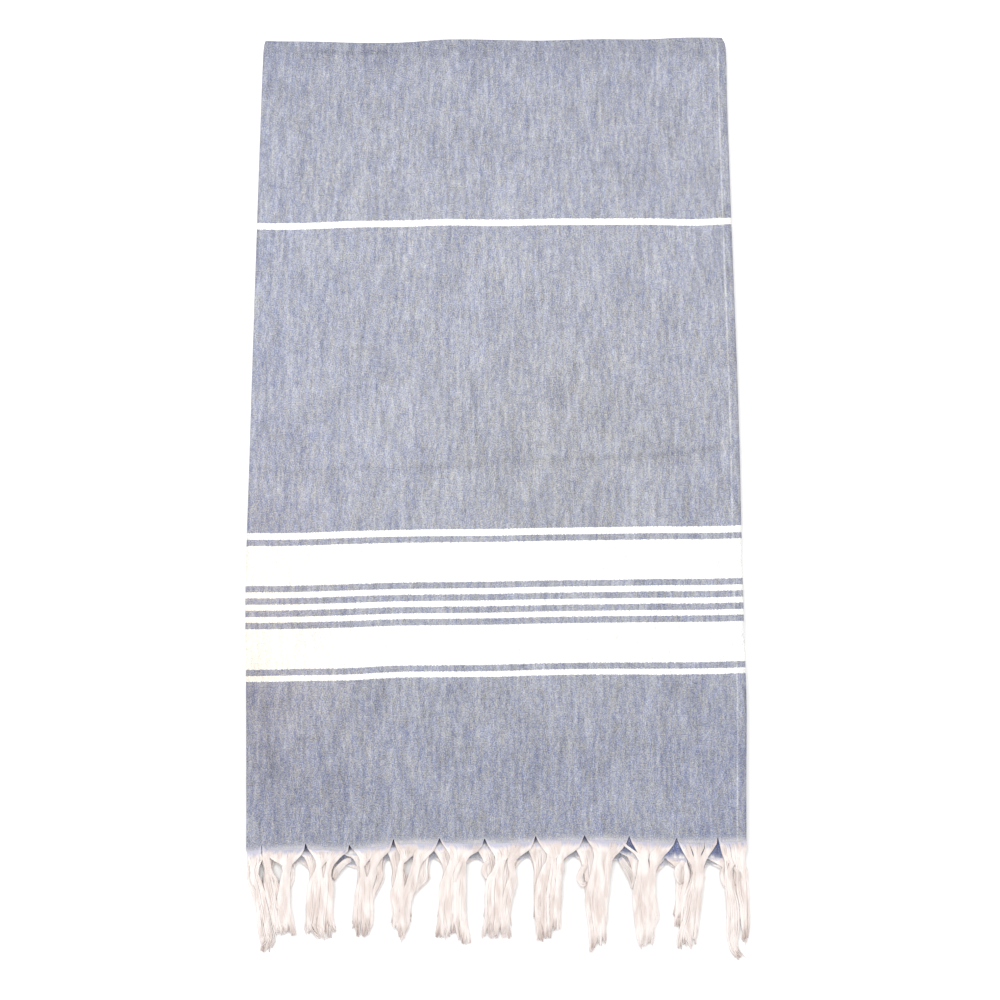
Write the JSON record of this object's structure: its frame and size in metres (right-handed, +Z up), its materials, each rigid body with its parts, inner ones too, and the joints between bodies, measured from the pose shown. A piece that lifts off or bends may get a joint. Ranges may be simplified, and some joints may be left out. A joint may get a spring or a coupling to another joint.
{
  "type": "hammam towel",
  "caption": "Flat-woven hammam towel, folded in four and laid flat, with white stripes woven across blue-grey cloth and knotted fringes along its lower edge.",
  "frame": {"origin": "on the surface that the folded towel lies on, under the middle of its box", "axes": "+Z up, out of the half that shows; +Y along the towel, from the fringes to the top fold; +X across it, from the side fold to the selvedges"},
  "size_m": [0.4904, 0.921, 0.0116],
  "materials": {
    "woven_cloth": "matte flat weave of blue-grey melange cotton with white stripes",
    "warp_ends": "matte warm white cotton yarn, knotted in bunches"
  },
  "bodies": {
    "root": {"towel_cloth": "woven_cloth", "fringe_front": "warp_ends", "fringe_back": "warp_ends"}
  },
  "joints": []
}
